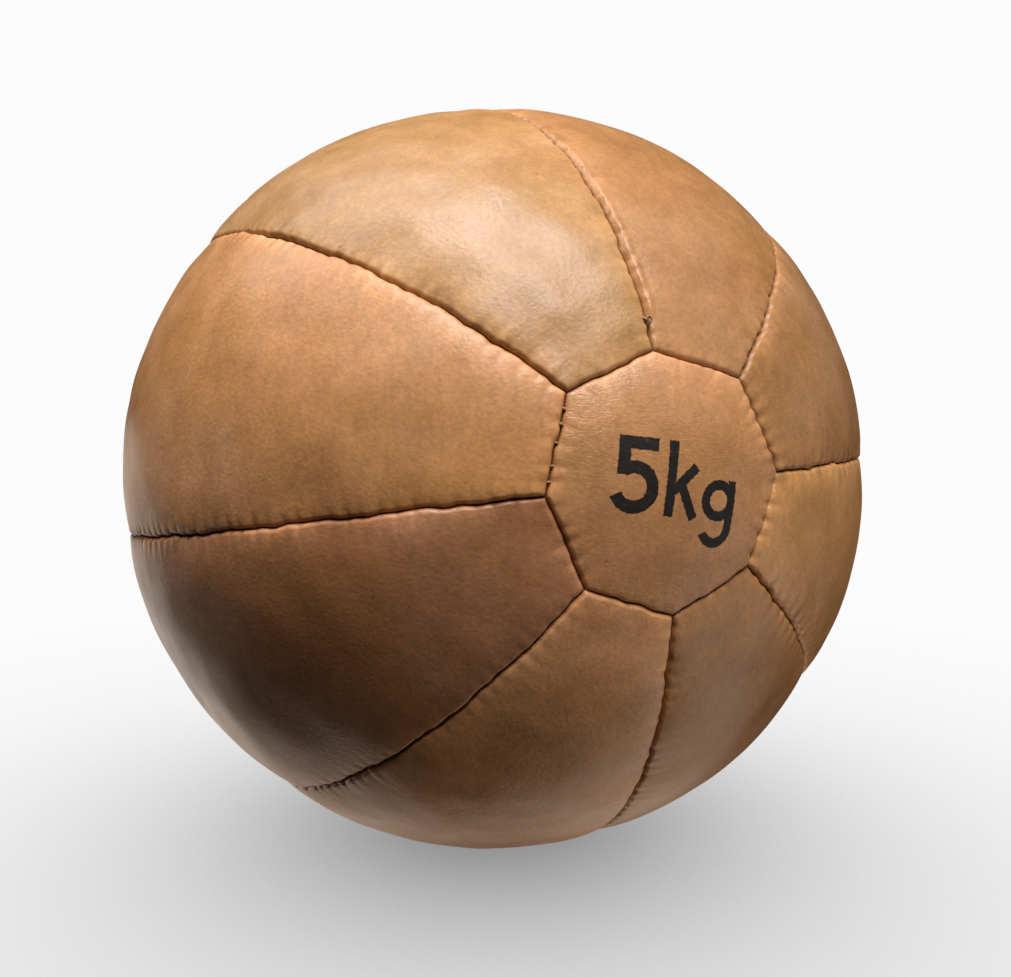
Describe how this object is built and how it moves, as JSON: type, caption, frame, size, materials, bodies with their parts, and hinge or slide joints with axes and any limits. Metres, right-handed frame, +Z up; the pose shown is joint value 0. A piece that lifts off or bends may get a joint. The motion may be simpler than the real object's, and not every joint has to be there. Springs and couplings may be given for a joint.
{
  "type": "medicine ball",
  "caption": "Round leather medicine ball for lifting and throwing exercises, sewn from long gores between two octagonal caps and packed firm with fibre.",
  "frame": {"origin": "the ball's centre", "axes": "+Z up with the ball standing on its settled flat; Y runs from cap to cap, with the weight-marked cap at -Y; +X to the right as seen facing the marked cap"},
  "size_m": [0.2797, 0.28, 0.2783],
  "materials": {
    "leather": "satin, vegetable-tanned, oiled",
    "lining_canvas": "matt plain weave",
    "waxed_thread": "waxed linen",
    "wrap_felt": "matt felt",
    "core_fibre": "packed textile fibre"
  },
  "bodies": {
    "root": {"gore_1": "leather", "gore_2": "leather", "gore_3": "leather", "gore_4": "leather", "gore_5": "leather", "gore_6": "leather", "gore_7": "leather", "gore_8": "leather", "cap_front": "leather", "cap_back": "leather", "lining_gore_1": "lining_canvas", "lining_gore_2": "lining_canvas", "lining_gore_3": "lining_canvas", "lining_gore_4": "lining_canvas", "lining_gore_5": "lining_canvas", "lining_gore_6": "lining_canvas", "lining_gore_7": "lining_canvas", "lining_gore_8": "lining_canvas", "lining_cap_front": "lining_canvas", "lining_cap_back": "lining_canvas", "seam_thread_1": "waxed_thread", "seam_thread_2": "waxed_thread", "seam_thread_3": "waxed_thread", "seam_thread_4": "waxed_thread", "seam_thread_5": "waxed_thread", "seam_thread_6": "waxed_thread", "seam_thread_7": "waxed_thread", "seam_thread_8": "waxed_thread", "cap_thread_front": "waxed_thread", "cap_thread_back": "waxed_thread", "closing_knot": "waxed_thread", "wrap_front": "wrap_felt", "wrap_back": "wrap_felt", "fibre_core": "core_fibre"}
  },
  "joints": []
}
